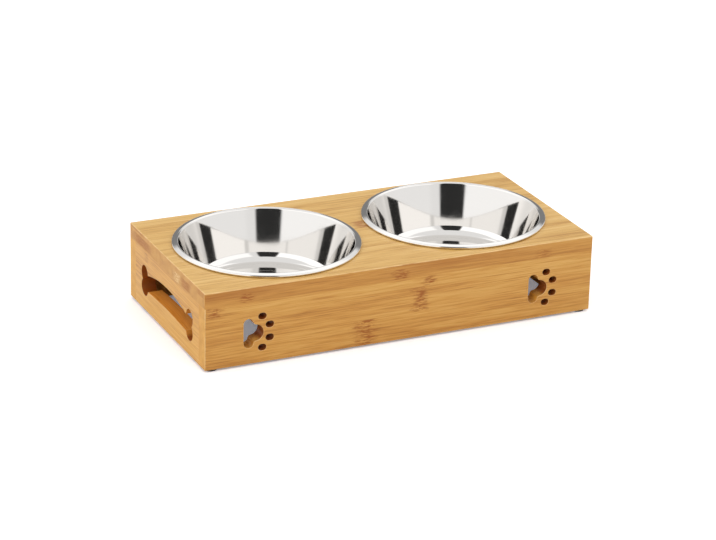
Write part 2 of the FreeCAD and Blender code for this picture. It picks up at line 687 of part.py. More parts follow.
def make_dowels():
    """Make the glued dowels: two at each upright corner and a row under each top edge."""
    pattern = make_dowel_pattern()
    lying = Rotation(Vector(1, 0, 0), 90)
    seam = f"{END_PANEL_LENGTH} / 2"
    groups = []
    for depth_name, along in (("front", f"-{seam}"), ("back", seam)):
        for end_name, across in (("left", f"-{END_PANEL_MIDDLE}"), ("right", END_PANEL_MIDDLE)):
            places = [(across, along, f"foot_height + {up}") for up in CORNER_DOWEL_UP]
            name = f"{depth_name}_{end_name}_corner_dowels"
            groups.append(make_dowel_group(name, pattern, places, lying))
    for name, along in (("front", f"-{LONG_PANEL_MIDDLE}"), ("back", LONG_PANEL_MIDDLE)):
        places = [(across, along, TOP_UNDERSIDE) for across in LONG_DOWEL_ACROSS]
        groups.append(make_dowel_group(f"top_{name}_dowels", pattern, places))
    for name, across in (("left", f"-{END_PANEL_MIDDLE}"), ("right", END_PANEL_MIDDLE)):
        places = [(across, along, TOP_UNDERSIDE) for along in END_DOWEL_ACROSS]
        groups.append(make_dowel_group(f"top_{name}_dowels", pattern, places))
    return groups


def make_stand():
    """Make every piece of the stand and both bowls, each at its place."""
    pieces = [make_top_board()]

    front = make_long_panel("front_panel")
    stand_at(front, "0", f"-{STAND_DEPTH} / 2", "foot_height")
    back = make_long_panel("back_panel")
    stand_at(back, "0", f"{STAND_DEPTH} / 2", "foot_height", HALF_TURN)
    left = make_end_panel("left_end_panel")
    stand_at(left, f"-{STAND_LENGTH} / 2", "0", "foot_height")
    right = make_end_panel("right_end_panel")
    stand_at(right, f"{STAND_LENGTH} / 2", "0", "foot_height", HALF_TURN)
    pieces += [front, back, left, right]

    section = draw_bowl_section()
    pieces.append(make_bowl("left_bowl", section, f"-{BOWL_OFFSET}"))
    pieces.append(make_bowl("right_bowl", section, BOWL_OFFSET))

    foot_across = f"({STAND_LENGTH} / 2 - foot_end_inset)"
    for depth_name, along in (("front", f"-{LONG_PANEL_MIDDLE}"), ("back", LONG_PANEL_MIDDLE)):
        for end_name, across in (("left", f"-{foot_across}"), ("right", foot_across)):
            pieces.append(make_foot(f"foot_{depth_name}_{end_name}", across, along))

    return pieces + make_dowels()


def write_pieces(pieces):
    """Check every object and write one file for each piece."""
    document.recompute()
    for item in document.Objects:
        if "Invalid" in item.State or "Error" in item.State:
            raise RuntimeError(f"{item.Label} did not build: {item.State}")
    for piece in pieces:
        if piece.Shape.isNull() or not piece.Shape.isValid():
            raise RuntimeError(f"{piece.Label} has no valid shape")
    os.makedirs("parts", exist_ok=True)
    for piece in pieces:
        piece.Shape.exportStep(f"parts/{piece.Label}.step")
        solids = len(piece.Shape.Solids)
        print(f"{piece.Label}: {solids} solid(s), {piece.Shape.Volume:.1f} mm3, {piece.Shape.BoundBox}")


write_pieces(make_stand())
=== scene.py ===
"""Finishes and studio for a double pet bowl stand: laminated bamboo boards and two polished bowls.

The bamboo boards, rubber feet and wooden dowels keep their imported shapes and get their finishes
here. The two bowls are turned anew as smooth sheet so that their polish reflects cleanly.
Lengths are metres, apart from the patterns of the finishes, which count in millimetres.
"""

import logging
import math
from dataclasses import dataclass, fields
from enum import Enum
from typing import Dict, Sequence, Tuple, Union

import bmesh
import bpy
from mathutils import Matrix, Vector


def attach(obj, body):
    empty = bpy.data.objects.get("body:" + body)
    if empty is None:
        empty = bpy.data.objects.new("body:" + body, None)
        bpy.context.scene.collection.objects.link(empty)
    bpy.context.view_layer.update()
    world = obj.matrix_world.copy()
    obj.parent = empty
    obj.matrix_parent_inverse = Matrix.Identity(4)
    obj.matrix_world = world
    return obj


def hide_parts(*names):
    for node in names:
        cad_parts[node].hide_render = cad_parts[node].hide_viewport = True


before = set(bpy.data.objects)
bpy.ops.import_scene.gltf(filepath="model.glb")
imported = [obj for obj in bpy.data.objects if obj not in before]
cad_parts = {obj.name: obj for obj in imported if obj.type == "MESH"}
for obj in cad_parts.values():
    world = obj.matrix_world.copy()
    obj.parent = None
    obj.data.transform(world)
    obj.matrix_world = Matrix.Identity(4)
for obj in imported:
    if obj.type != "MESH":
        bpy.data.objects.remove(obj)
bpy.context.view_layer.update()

LOG = logging.getLogger("bowl_stand")
MM = 0.001
HALF_TURN = 180.0

Socket = bpy.types.NodeSocket
Value = Union[float, Sequence[float], Socket]
Colour = Tuple[float, float, float]
Pair = Tuple[float, float]
Triple = Tuple[float, float, float]


def paint(red: int, green: int, blue: int) -> Colour:
    """Turn a colour as a painter's chart gives it into linear light.

    Args:
        red: red, 0 to 255.
        green: green, 0 to 255.
        blue: blue, 0 to 255.

    Returns:
        The linear colour.
    """
    def linear(level: int) -> float:
        """Return one channel in linear light."""
        share = level / 255.0
        return share / 12.92 if share <= 0.04045 else ((share + 0.055) / 1.055) ** 2.4

    return (linear(red), linear(green), linear(blue))


def grey(level: float) -> Colour:
    """Return an even grey of a linear level."""
    return (level, level, level)


@dataclass(frozen=True)
class Cloud:
    """Soft noise: how fine it is along each axis, how many layers it has and how strong they are."""

    scales: Triple
    detail: float
    roughness: float


def streaks(run: float, wide: float, detail: float, roughness: float) -> Cloud:
    """Return noise drawn out along the grain, for streaks of a length and width in millimetres."""
    return Cloud((1.0 / run, 1.0 / wide, 1.0 / wide), detail, roughness)


class NodeDesk:
    """A node tree with short ways to place and join its nodes."""

    def __init__(self, tree: bpy.types.NodeTree) -> None:
        """Start from an empty tree."""
        tree.nodes.clear()
        self.tree = tree

    def add(self, kind: str, **settings: object) -> bpy.types.Node:
        """Place a node.

        Args:
            kind: the node's type without its ShaderNode prefix.
            settings: the node's own properties.

        Returns:
            The new node.
        """
        node = self.tree.nodes.new(f"ShaderNode{kind}")
        for name, value in settings.items():
            setattr(node, name, value)
        return node

    def feed(self, target: Socket, value: Value) -> None:
        """Join a socket to an input, or set the input's own value.

        Args:
            target: the input.
            value: the socket, number or numbers that it gets.
        """
        if isinstance(value, bpy.types.NodeSocket):
            self.tree.links.new(value, target)
        else:
            target.default_value = value

    def show(self, surface: Socket, kind: str = "OutputMaterial") -> None:
        """Give the tree's output its surface."""
        self.feed(self.add(kind).inputs["Surface"], surface)

    def math(self, operation: str, *numbers: Value, clamp: bool = False) -> Socket:
        """Work out a number from one to three others.

        Args:
            operation: the Math node's operation.
            numbers: the numbers that it works on.
            clamp: whether the result is held between 0 and 1.

        Returns:
            The result's socket.
        """
        node = self.add("Math", operation=operation, use_clamp=clamp)
        for target, number in zip(node.inputs, numbers):
            self.feed(target, number)
        return node.outputs[0]

    def times(self, first: Value, second: Value) -> Socket:
        """Return the product of two numbers."""
        return self.math("MULTIPLY", first, second)

    def rest(self, share: Value) -> Socket:
        """Return what a share leaves of one."""
        return self.math("SUBTRACT", 1.0, share)

    def total(self, *parts: Value) -> Socket:
        """Add up several numbers.

        Args:
            parts: the numbers.

        Returns:
            The sum's socket.
        """
        result = parts[0]
        for part in parts[1:]:
            result = self.math("ADD", result, part)
        return result

    def swing(self, value: Socket, amount: float) -> Socket:
        """Turn a number about one half into one about zero, of a given reach."""
        return self.times(self.math("SUBTRACT", value, 0.5), amount)

    def ease(self, value: Value, start: float, end: float, low: float = 0.0, high: float = 1.0) -> Socket:
        """Ramp a number smoothly from one level to another.

        Args:
            value: the number that drives the ramp.
            start: where the ramp starts.
            end: where it ends.
            low: the level at its start.
            high: the level at its end.

        Returns:
            The level's socket.
        """
        node = self.add("MapRange", interpolation_type="SMOOTHSTEP")
        for target, part in zip(node.inputs, (value, start, end, low, high)):
            self.feed(target, part)
        return node.outputs[0]

    def split(self, vector: Socket) -> Tuple[Socket, Socket, Socket]:
        """Take a vector apart.

        Args:
            vector: the vector.

        Returns:
            Its three numbers.
        """
        node = self.add("SeparateXYZ")
        self.feed(node.inputs[0], vector)
        return node.outputs[0], node.outputs[1], node.outputs[2]

    def join(self, *parts: Value) -> Socket:
        """Put a vector together.

        Args:
            parts: its three numbers.

        Returns:
            The vector's socket.
        """
        node = self.add("CombineXYZ")
        for target, part in zip(node.inputs, parts):
            self.feed(target, part)
        return node.outputs[0]

    def millimetres(self, place: Socket) -> Socket:
        """Turn a place in metres into millimetres.

        Args:
            place: the place in metres.

        Returns:
            The place in millimetres.
        """
        node = self.add("VectorMath", operation="SCALE")
        self.feed(node.inputs[0], place)
        self.feed(node.inputs["Scale"], 1.0 / MM)
        return node.outputs[0]

    def noise(self, place: Socket, detail: float, roughness: float, scale: float = 1.0) -> Socket:
        """Return soft noise between 0 and 1.

        Args:
            place: the place in the noise.
            detail: how many finer layers it has.
            roughness: how strong those layers are.
            scale: how fine it is.

        Returns:
            The noise's socket.
        """
        node = self.add("TexNoise", noise_dimensions="3D")
        self.feed(node.inputs["Vector"], place)
        self.feed(node.inputs["Scale"], scale)
        self.feed(node.inputs["Detail"], detail)
        self.feed(node.inputs["Roughness"], roughness)
        return node.outputs[0]

    def cloud(self, parts: Sequence[Socket], kind: Cloud) -> Socket:
        """Return soft noise with its own fineness along each of a place's three numbers."""
        place = self.join(*(self.times(part, scale) for part, scale in zip(parts, kind.scales)))
        return self.noise(place, kind.detail, kind.roughness)

    def blend(self, share: Value, first: Value, second: Value) -> Socket:
        """Mix two colours.

        Args:
            share: the second colour's share.
            first: the first colour.
            second: the second colour.

        Returns:
            The mixed colour's socket.
        """
        node = self.add("Mix", data_type="RGBA")
        self.feed(node.inputs[0], share)
        self.feed(node.inputs[6], (*first, 1.0) if isinstance(first, tuple) else first)
        self.feed(node.inputs[7], (*second, 1.0) if isinstance(second, tuple) else second)
        return node.outputs[2]

    def ramp(self, value: Socket, stops: Sequence[Tuple[float, Colour]]) -> Socket:
        """Return the colour that a number picks from a row of colours.

        Args:
            value: a number between 0 and 1.
            stops: places and colours.

        Returns:
            The colour's socket.
        """
        node = self.add("ValToRGB")
        steps = node.color_ramp.elements
        while len(steps) < len(stops):
            steps.new(0.5)
        for step, (place, colour) in zip(steps, stops):
            step.position = place
            step.color = (*colour, 1.0)
        self.feed(node.inputs[0], value)
        return node.outputs[0]

    def use(self, group: bpy.types.NodeTree, **values: Value) -> bpy.types.Node:
        """Place a shared effect.

        Args:
            group: the effect's node group.
            values: its inputs, with underscores for blanks.

        Returns:
            The group's node.
        """
        node = self.add("Group", node_tree=group)
        for name, value in values.items():
            self.feed(node.inputs[name.replace("_", " ").title()], value)
        return node

    def bump(self, height: Socket, depth: float, strength: float) -> Socket:
        """Return a normal with a relief in it.

        Args:
            height: the relief, 0 to 1.
            depth: its depth in metres.
            strength: how much of it shows.

        Returns:
            The normal's socket.
        """
        node = self.add("Bump")
        self.feed(node.inputs["Strength"], strength)
        self.feed(node.inputs["Distance"], depth)
        self.feed(node.inputs["Height"], height)
        return node.outputs["Normal"]


def new_group(
    name: str, takes: Dict[str, str], gives: Sequence[str]
) -> Tuple[NodeDesk, Dict[str, Socket], bpy.types.Node]:
    """Make an empty shader node group.

    Args:
        name: the group's name.
        takes: its inputs' names and kinds.
        gives: its outputs' names, all plain numbers.

    Returns:
        The group's desk, its inputs by name and its output node.
    """
    tree = bpy.data.node_groups.new(name, "ShaderNodeTree")
    for label, kind in takes.items():
        tree.interface.new_socket(name=label, in_out="INPUT", socket_type=f"NodeSocket{kind}")
    for label in gives:
        tree.interface.new_socket(name=label, in_out="OUTPUT", socket_type="NodeSocketFloat")
    desk = NodeDesk(tree)
    entry = tree.nodes.new("NodeGroupInput")
    leave = tree.nodes.new("NodeGroupOutput")
    return desk, {label: entry.outputs[label] for label in takes}, leave


def new_material(name: str) -> Tuple[bpy.types.Material, NodeDesk]:
    """Make an empty material.

    Args:
        name: the material's name.

    Returns:
        The material and its desk.
    """
    made = bpy.data.materials.new(name)
    made.use_nodes = True
    return made, NodeDesk(made.node_tree)


class SharedEffects:
    """The effects that several finishes use, each built once as a node group."""

    SEAM_REACH: Pair = (0.4, 0.05)
    STRIP_SLIDE = 700.0
    SEED_DEPTH = 37.0
    BROAD = streaks(210.0, 9.0, 2.0, 0.5)
    STREAK = streaks(64.0, 1.5, 3.0, 0.62)
    FIBRE = streaks(26.0, 0.42, 2.0, 0.5)
    DASH = streaks(34.0, 0.8, 1.0, 0.4)
    DASH_REACH: Pair = (0.62, 0.74)
    MIDDLE_TONE = 0.5
    LOT_SHARE = 0.3
    BROAD_SHARE = 0.95
    STREAK_SHARE = 1.5
    FIBRE_SHARE = 1.1
    DASH_SHARE = -0.28
    RAGGED = Cloud((0.05, 0.42, 0.3), 3.0, 0.65)
    WISP = Cloud((0.16, 1.0, 0.6), 3.0, 0.6)
    BAND_REACH: Pair = (0.62, 0.12)
    SIDE_REACH: Pair = (-0.3, 0.6)
    FLECK_REACH: Pair = (0.4, 0.6)
    SMEAR_NOISE: Pair = (4.0, 0.62)
    SMEAR_REACH: Pair = (0.42, 0.7)
    # The pale lines along rounded edges: partly worn finish, partly painted highlight.
    ROUND_START: Pair = (0.1, 0.4)
    ROUND_END: Pair = (0.99, 0.92)
    WEAR_DEPTH = 90.0
    WEAR_NOISE: Triple = (3.0, 0.6, 0.06)
    WEAR_REACH: Tuple[float, float, float, float] = (0.35, 0.65, 0.3, 1.0)

    def __init__(self) -> None:
        """Build every group."""
        self.fibre = self.make_fibre()
        self.knuckle = self.make_knuckle()
        self.handling = self.make_handling()
        self.edge_wear_and_highlight = self.make_edge_wear()

    def make_fibre(self) -> bpy.types.NodeTree:
        """Build laminated strips with streaks along the grain.

        Returns:
            A group that gives the tone, the glue seams and the fine fibres at a place
            (along, across and through the board, in millimetres).
        """
        takes = {"Place": "Vector", "Strip Width": "Float", "Seed": "Float"}
        desk, inputs, leave = new_group("strips_and_fibre", takes, ("Tone", "Seam", "Fibre"))
        along, across, through = desk.split(inputs["Place"])
        step = desk.math("DIVIDE", across, inputs["Strip Width"])
        number = desk.math("FLOOR", step)
        share = desk.math("SUBTRACT", step, number)
        edge = desk.math("MINIMUM", share, desk.rest(share))
        seam = desk.ease(desk.times(edge, inputs["Strip Width"]), *self.SEAM_REACH)

        chance = desk.add("TexWhiteNoise", noise_dimensions="2D")
        desk.feed(chance.inputs["Vector"], desk.join(number, inputs["Seed"], 0.0))
        lot = chance.outputs["Value"]
        slid = desk.math("ADD", along, desk.times(lot, self.STRIP_SLIDE))
        deep = desk.math("ADD", through, desk.times(inputs["Seed"], self.SEED_DEPTH))
        parts = (slid, across, deep)
        fibre = desk.cloud(parts, self.FIBRE)
        dash = desk.ease(desk.cloud(parts, self.DASH), *self.DASH_REACH)
        tone = desk.total(
            self.MIDDLE_TONE,
            desk.swing(lot, self.LOT_SHARE),
            desk.swing(desk.cloud(parts, self.BROAD), self.BROAD_SHARE),
            desk.swing(desk.cloud(parts, self.STREAK), self.STREAK_SHARE),
            desk.swing(fibre, self.FIBRE_SHARE),
            desk.times(dash, self.DASH_SHARE),
        )
        desk.feed(leave.inputs["Tone"], desk.math("ADD", tone, 0.0, clamp=True))
        desk.feed(leave.inputs["Seam"], seam)
        desk.feed(leave.inputs["Fibre"], fibre)
        return desk.tree

    def make_knuckle(self) -> bpy.types.NodeTree:
        """Build one knuckle of the cane: a ragged brown band across a strip.

        Returns:
            A group that gives the band's mask.
        """
        numbers = ("Along", "Across", "Length", "Width", "Ragged", "Fleck")
        takes = {"Place": "Vector", **{number: "Float" for number in numbers}}
        desk, inputs, leave = new_group("cane_knuckle", takes, ("Mask",))
        along, across, through = desk.split(inputs["Place"])
        ragged = desk.cloud((along, across, through), self.RAGGED)
        way = desk.math("DIVIDE", desk.math("SUBTRACT", along, inputs["Along"]), inputs["Length"])
        way = desk.math("ADD", way, desk.times(desk.swing(ragged, 1.0), inputs["Ragged"]))
        band = desk.ease(desk.math("ABSOLUTE", way), *self.BAND_REACH)
        off = desk.math("ABSOLUTE", desk.math("SUBTRACT", across, inputs["Across"]))
        reach = desk.math("SUBTRACT", desk.times(inputs["Width"], 0.5), off)
        inside = desk.ease(reach, *self.SIDE_REACH)
        flecks = desk.ease(desk.cloud((along, across, through), self.WISP), *self.FLECK_REACH)
        holes = desk.times(inputs["Fleck"], desk.rest(flecks))
        desk.feed(leave.inputs["Mask"], desk.times(desk.times(band, inside), desk.rest(holes)))
        return desk.tree

    def make_handling(self) -> bpy.types.NodeTree:
        """Build the faint smears that hands and cloths leave on a finish.

        Returns:
            A group that gives the smears' strength.
        """
        takes = {"Place": "Vector", "Size": "Float", "Seed": "Float"}
        desk, inputs, leave = new_group("handling_smears", takes, ("Smear",))
        along, across, up = (
            desk.math("DIVIDE", part, inputs["Size"]) for part in desk.split(inputs["Place"])
        )
        place = desk.join(along, across, desk.math("ADD", up, inputs["Seed"]))
        cloud = desk.noise(place, *self.SMEAR_NOISE)
        desk.feed(leave.inputs["Smear"], desk.ease(cloud, *self.SMEAR_REACH))
        return desk.tree

    def make_edge_wear(self) -> bpy.types.NodeTree:
        """Build the paler lines along a board's rounded edges: partly worn finish, partly a painted
        highlight where the rounding catches the light.

        Returns:
            A group that gives the lines' strength at a place, from how far its surface leans over.
        """
        takes = {"Place": "Vector", "Lean": "Float", "Seed": "Float"}
        desk, inputs, leave = new_group("edge_wear_and_highlight", takes, ("WearAndHighlight",))
        start = desk.ease(inputs["Lean"], *self.ROUND_START)
        end = desk.ease(inputs["Lean"], *self.ROUND_END)
        along, across, through = desk.split(inputs["Place"])
        deep = desk.math("ADD", through, desk.times(inputs["Seed"], self.WEAR_DEPTH))
        cloud = desk.noise(desk.join(along, across, deep), *self.WEAR_NOISE)
        patchy = desk.ease(cloud, *self.WEAR_REACH)
        desk.feed(leave.inputs["WearAndHighlight"], desk.times(desk.times(start, end), patchy))
        return desk.tree


class GrainWay(Enum):
    """How a board's grain runs: the axes along, across and through its strips."""

    LONG_UPRIGHT = (0, 2, 1)
    LONG_FLAT = (0, 1, 2)
    CROSS_UPRIGHT = (1, 2, 0)


@dataclass(frozen=True)
class Mark:
    """A brown or pale mark on a board, in millimetres in the frame."""

    along: float
    across: float
    length: float
    width: float
    depth: float
    ragged: float = 1.3
    fleck: float = 1.0


@dataclass(frozen=True)
class Tones:
    """The row of colours that a board's streaks are picked from."""

    darkest: Colour = paint(164, 104, 40)
    dark: Colour = paint(192, 132, 57)
    middle: Colour = paint(208, 151, 71)
    light: Colour = paint(221, 172, 94)

    def stops(self) -> Tuple[Tuple[float, Colour], ...]:
        """Return the colours with their places in the row."""
        return ((0.0, self.darkest), (0.3, self.dark), (0.56, self.middle), (1.0, self.light))


# Paler tones for the top board's broad faces: partly the strips' own face tone, partly painted light and
# sheen for the brighter-lit top.
TOP_FACE_TONE_AND_LIGHT = Tones(paint(178, 127, 62), paint(207, 161, 88), paint(220, 177, 104), paint(231, 193, 129))
WARM_END = Tones(paint(182, 117, 40), paint(212, 150, 58), paint(225, 167, 74), paint(235, 183, 97))
# Painted light: brighter, more saturated orange for the grip holes' walls, in place of the light that
# bounces inside the holes.
LIT_HOLE_WALL = Tones(paint(204, 118, 34), paint(230, 148, 52), paint(242, 162, 66), paint(248, 177, 86))
BEECH = Tones(paint(168, 128, 84), paint(186, 148, 104), paint(198, 163, 120), paint(212, 182, 142))


@dataclass(frozen=True)
class BoardView:
    """What a board's pattern reads: places in millimetres, and which face of the board a place is on."""

    along: Socket
    place: Socket
    strips: Socket
    edgewise: Socket
    crosswise: Socket
    broad_face: Socket
    edge_face: Socket
    end_face: Socket
    lean: Socket


@dataclass(frozen=True)
class BambooFinish:
    """Clear-lacquered laminated bamboo for one board.

    A reach is the two values that a ramp runs between, and a noise its detail, roughness and scale.
    """

    name: str
    way: GrainWay
    seed: float
    knuckles: Tuple[Mark, ...] = ()
    edge_marks: Tuple[Mark, ...] = ()
    end_marks: Tuple[Mark, ...] = ()
    pale_marks: Tuple[Mark, ...] = ()
    strip_width: float = 25.0
    strip_start: float = 3.0
    tones: Tones = Tones()
    face_tones: Tones = Tones()
    end_tones: Tones = WARM_END
    drift: float = 0.0
    seam_share: float = 0.3
    brown: Colour = paint(150, 76, 10)
    end_brown: Colour = paint(170, 97, 2)
    cut_places: Tuple[float, ...] = ()
    cut_reach: Pair = (11.0, 7.0)
    # Painted shade for the cut-out walls near each cut's middle, and how strong it is.
    scorched: Colour = paint(130, 44, 2)
    scorching: float = 0.8
    # Pale colour for the pale end-grain patches and for the edge lines, which are partly worn finish and
    # partly painted highlight.
    rubbed: Colour = paint(240, 204, 144)
    rubbing: float = 0.75
    broad_reach: Pair = (0.5, 0.8)
    narrow_reach: Pair = (0.6, 0.9)
    cut_tone: float = 0.55
    patch_noise: Triple = (2.0, 0.5, 0.11)
    patch_share: float = 0.9
    pore_noise: Triple = (1.0, 0.5, 1.3)
    pore_share: float = 0.3
    smear_size: float = 46.0
    rough: float = 0.36
    rough_fibre: float = 0.16
    rough_smear: float = 0.05
    rough_end: float = 0.1
    rough_brown: float = 0.08
    rough_wear: float = -0.08
    relief_fibre: float = 0.45
    relief_seam: float = -0.8
    relief_brown: float = 0.4
    relief_depth: float = 0.00012
    relief_strength: float = 0.35
    ior: float = 1.5
    gloss: float = 0.35
    coat: float = 0.1
    coat_rough: float = 0.22

    def view(self, desk: NodeDesk) -> BoardView:
        """Find the places and faces that the pattern reads.

        Args:
            desk: the material's desk.

        Returns:
            The board's view.
        """
        spot = desk.add("TexCoord")
        axes = desk.split(desk.millimetres(spot.outputs["Object"]))
        facing = desk.split(spot.outputs["Normal"])
        along, across, through = (axes[number] for number in self.way.value)
        end, edge, broad = (desk.math("ABSOLUTE", facing[number]) for number in self.way.value)
        return BoardView(
            along=along,
            place=desk.join(along, across, through),
            strips=desk.join(along, desk.math("SUBTRACT", across, self.strip_start), through),
            edgewise=desk.join(along, through, across),
            crosswise=desk.join(across, through, along),
            broad_face=desk.ease(broad, *self.broad_reach),
            edge_face=desk.ease(edge, *self.narrow_reach),
            end_face=desk.ease(end, *self.narrow_reach),
            lean=broad,
        )

    def marks(
        self, desk: NodeDesk, effects: SharedEffects, place: Socket, face: Socket, marks: Sequence[Mark]
    ) -> Socket:
        """Draw several marks on one kind of face.

        Args:
            desk: the material's desk.
            effects: the shared effects.
            place: the place that the marks' numbers refer to.
            face: the mask of the face that they are on.
            marks: the marks.

        Returns:
            The strongest mask at each place.
        """
        found: Value = 0.0
        for mark in marks:
            node = desk.use(
                effects.knuckle,
                place=place,
                along=mark.along,
                across=mark.across,
                length=mark.length,
                width=mark.width,
                ragged=mark.ragged,
                fleck=mark.fleck,
            )
            found = desk.math("MAXIMUM", found, desk.times(node.outputs["Mask"], mark.depth))
        return desk.times(found, face)

    def wood(self, desk: NodeDesk, view: BoardView, grain: bpy.types.Node) -> Socket:
        """Colour the strips, and the cut ends of their fibres.

        Args:
            desk: the material's desk.
            view: the board's view.
            grain: the strips and fibres.

        Returns:
            The colour of the wood without its marks.
        """
        patches = desk.noise(view.crosswise, *self.patch_noise)
        pores = desk.noise(view.crosswise, *self.pore_noise)
        cut_tone = desk.total(
            self.cut_tone, desk.swing(patches, self.patch_share), desk.swing(pores, self.pore_share)
        )
        lengthwise = desk.times(grain.outputs["Tone"], desk.rest(view.end_face))
        drifted = desk.math("ADD", lengthwise, desk.times(view.along, self.drift))
        tone = desk.math("ADD", drifted, desk.times(cut_tone, view.end_face), clamp=True)
        colour = desk.ramp(tone, self.tones.stops())
        colour = desk.blend(view.broad_face, colour, desk.ramp(tone, self.face_tones.stops()))
        colour = desk.blend(view.end_face, colour, desk.ramp(tone, self.end_tones.stops()))
        return desk.blend(desk.times(grain.outputs["Seam"], self.seam_share), colour, self.tones.dark)

    def scorch(self, desk: NodeDesk, view: BoardView, colour: Socket) -> Socket:
        """Darken the walls of the cut-outs near each cut's middle with painted shade.

        Args:
            desk: the material's desk.
            view: the board's view.
            colour: the colour so far.

        Returns:
            The colour with the painted shade on the walls.
        """
        # Painted shade: the walls darken towards each cut's middle.
        for middle in self.cut_places:
            off = desk.math("ABSOLUTE", desk.math("SUBTRACT", view.along, middle))
            near_cut = desk.ease(off, *self.cut_reach, 0.0, self.scorching)
            cut_wall = desk.times(near_cut, desk.rest(view.broad_face))
            colour = desk.blend(cut_wall, colour, self.scorched)
        return colour

    def material(self, effects: SharedEffects) -> bpy.types.Material:
        """Build the material.

        Args:
            effects: the shared effects.

        Returns:
            The material.
        """
        made, desk = new_material(self.name)
        view = self.view(desk)
        grain = desk.use(effects.fibre, place=view.strips, strip_width=self.strip_width, seed=self.seed)
        fibre = grain.outputs["Fibre"]
        knuckles = self.marks(desk, effects, view.place, view.broad_face, self.knuckles)
        edges = self.marks(desk, effects, view.edgewise, view.edge_face, self.edge_marks)
        ends = self.marks(desk, effects, view.crosswise, view.end_face, self.end_marks)
        paled = self.marks(desk, effects, view.crosswise, view.end_face, self.pale_marks)
        browned = desk.math("MAXIMUM", knuckles, edges)
        wear_and_highlight = desk.use(effects.edge_wear_and_highlight, place=view.place, lean=view.lean, seed=self.seed).outputs["WearAndHighlight"]
        smears = desk.use(effects.handling, place=view.place, size=self.smear_size, seed=self.seed)

        colour = desk.blend(browned, self.wood(desk, view, grain), self.brown)
        colour = desk.blend(ends, colour, self.end_brown)
        colour = desk.blend(paled, colour, self.rubbed)
        # Painted shade on the cut-out walls.
        colour = self.scorch(desk, view, colour)
        # Pale lines along the rounded edges: partly worn finish, partly a painted highlight.
        colour = desk.blend(desk.times(wear_and_highlight, self.rubbing), colour, self.rubbed)
        rough = desk.total(
            self.rough,
            desk.swing(fibre, self.rough_fibre),
            desk.times(smears.outputs["Smear"], self.rough_smear),
            desk.times(view.end_face, self.rough_end),
            desk.times(browned, self.rough_brown),
            desk.times(wear_and_highlight, self.rough_wear),
        )
        relief = desk.total(
            desk.times(fibre, self.relief_fibre),
            desk.times(grain.outputs["Seam"], self.relief_seam),
            desk.times(browned, self.relief_brown),
        )

        shader = desk.add("BsdfPrincipled")
        desk.feed(shader.inputs["Base Color"], colour)
        desk.feed(shader.inputs["Roughness"], rough)
        desk.feed(shader.inputs["Normal"], desk.bump(relief, self.relief_depth, self.relief_strength))
        shader.inputs["IOR"].default_value = self.ior
        shader.inputs["Specular IOR Level"].default_value = self.gloss
        shader.inputs["Coat Weight"].default_value = self.coat
        shader.inputs["Coat Roughness"].default_value = self.coat_rough
        desk.show(shader.outputs[0])
        return made


@dataclass(frozen=True)
class SteelFinish:
    """Mirror-polished stainless steel, turned on its bowl's axis."""

    name: str
    axis_across: float
    seed: float
    bright: Colour = (0.84, 0.82, 0.795)
    dull: Colour = (0.76, 0.745, 0.725)
    dulling: float = 0.5
    ring_scale: float = 2.4
    ring_wander: float = 0.004
    ring_noise: Pair = (2.0, 0.6)
    smear_size: float = 30.0
    rough: float = 0.055
    rough_ring: float = 0.03
    rough_smear: float = 0.035
    relief_depth: float = 0.00002
    relief_strength: float = 0.06

    def material(self, effects: SharedEffects) -> bpy.types.Material:
        """Build the material.

        Args:
            effects: the shared effects.

        Returns:
            The material.
        """
        made, desk = new_material(self.name)
        spot = desk.add("TexCoord")
        centre = desk.add("Mapping", vector_type="POINT")
        desk.feed(centre.inputs["Vector"], spot.outputs["Object"])
        centre.inputs["Location"].default_value = (-self.axis_across / MM, 0.0, 0.0)
        centre.inputs["Scale"].default_value = (1.0 / MM, 1.0 / MM, 1.0 / MM)
        place = centre.outputs[0]
        across, along, up = desk.split(place)
        reach = desk.math("SQRT", desk.math("ADD", desk.times(across, across), desk.times(along, along)))
        rings = desk.join(
            desk.times(reach, self.ring_scale),
            desk.times(up, self.ring_scale),
            desk.math("ADD", self.seed, desk.times(across, self.ring_wander)),
        )
        turned = desk.noise(rings, *self.ring_noise)
        smears = desk.use(effects.handling, place=place, size=self.smear_size, seed=self.seed)

        rough = desk.total(
            self.rough,
            desk.swing(turned, self.rough_ring),
            desk.times(smears.outputs["Smear"], self.rough_smear),
        )
        shader = desk.add("BsdfPrincipled")
        dulled = desk.blend(desk.times(turned, self.dulling), self.bright, self.dull)
        desk.feed(shader.inputs["Base Color"], dulled)
        desk.feed(shader.inputs["Roughness"], rough)
        desk.feed(shader.inputs["Normal"], desk.bump(turned, self.relief_depth, self.relief_strength))
        shader.inputs["Metallic"].default_value = 1.0
        desk.show(shader.outputs[0])
        return made


@dataclass(frozen=True)
class RubberFinish:
    """Matt black rubber with a fine moulded grain."""

    name: str = "foot_rubber"
    seed: float = 3.0
    dark: Colour = (0.014, 0.014, 0.015)
    worn: Colour = (0.035, 0.034, 0.034)
    grain_noise: Triple = (2.0, 0.5, 3.0)
    smear_size: float = 6.0
    rough: float = 0.68
    rough_grain: float = 0.2
    relief_depth: float = 0.00006
    relief_strength: float = 0.4

    def material(self, effects: SharedEffects) -> bpy.types.Material:
        """Build the material.

        Args:
            effects: the shared effects.

        Returns:
            The material.
        """
        made, desk = new_material(self.name)
        place = desk.millimetres(desk.add("TexCoord").outputs["Object"])
        grain = desk.noise(place, *self.grain_noise)
        smears = desk.use(effects.handling, place=place, size=self.smear_size, seed=self.seed)
        shader = desk.add("BsdfPrincipled")
        desk.feed(shader.inputs["Base Color"], desk.blend(smears.outputs["Smear"], self.dark, self.worn))
        desk.feed(shader.inputs["Roughness"], desk.total(self.rough, desk.swing(grain, self.rough_grain)))
        desk.feed(shader.inputs["Normal"], desk.bump(grain, self.relief_depth, self.relief_strength))
        desk.show(shader.outputs[0])
        return made


